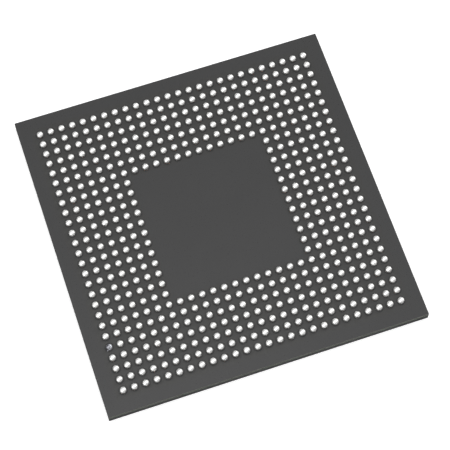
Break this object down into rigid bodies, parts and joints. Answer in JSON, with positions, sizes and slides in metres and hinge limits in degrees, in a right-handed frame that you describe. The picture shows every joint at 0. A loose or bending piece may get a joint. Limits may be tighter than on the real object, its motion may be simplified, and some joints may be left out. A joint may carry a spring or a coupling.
{
  "type": "bga chip",
  "caption": "Square ball grid array chip package, sawn flush, lying with its solder balls up; the balls form rings round a bare centre and one of them is crushed.",
  "frame": {"origin": "middle of the marking face, on which the package lies", "axes": "+Z off the marking face towards the solder balls, +Y towards row AF, +X towards the last column"},
  "size_m": [0.023, 0.023, 0.0012],
  "materials": {
    "mold_compound": "matte",
    "silicon": "polished",
    "die_attach_film": "satin",
    "gold_wire": "polished",
    "inner_solder_mask": "satin",
    "laminate": "matte",
    "copper": "satin",
    "outer_solder_mask": "satin",
    "solder": "satin",
    "tarnished_solder": "satin"
  },
  "bodies": {
    "root": {"mold_cap": "mold_compound", "die": "silicon", "die_attach": "die_attach_film", "bond_wires_right": "gold_wire", "bond_wires_back": "gold_wire", "bond_wires_left": "gold_wire", "bond_wires_front": "gold_wire", "die_side_mask": "inner_solder_mask", "substrate_core": "laminate", "copper_circuits": "copper", "ball_side_mask": "outer_solder_mask", "balls_row_A": "solder", "balls_row_B": "solder", "balls_row_C": "solder", "balls_row_D": "solder", "balls_row_E": "solder", "balls_row_F": "solder", "balls_row_G": "solder", "balls_row_H": "solder", "balls_row_J": "solder", "balls_row_K": "solder", "balls_row_L": "solder", "balls_row_M": "solder", "balls_row_N": "solder", "balls_row_P": "solder", "balls_row_R": "solder", "balls_row_T": "solder", "balls_row_U": "solder", "balls_row_V": "solder", "balls_row_W": "solder", "balls_row_Y": "solder", "balls_row_AA": "solder", "balls_row_AB": "solder", "balls_row_AC": "solder", "balls_row_AD": "solder", "balls_row_AE": "solder", "balls_row_AF": "solder", "crushed_ball": "tarnished_solder"}
  },
  "joints": []
}
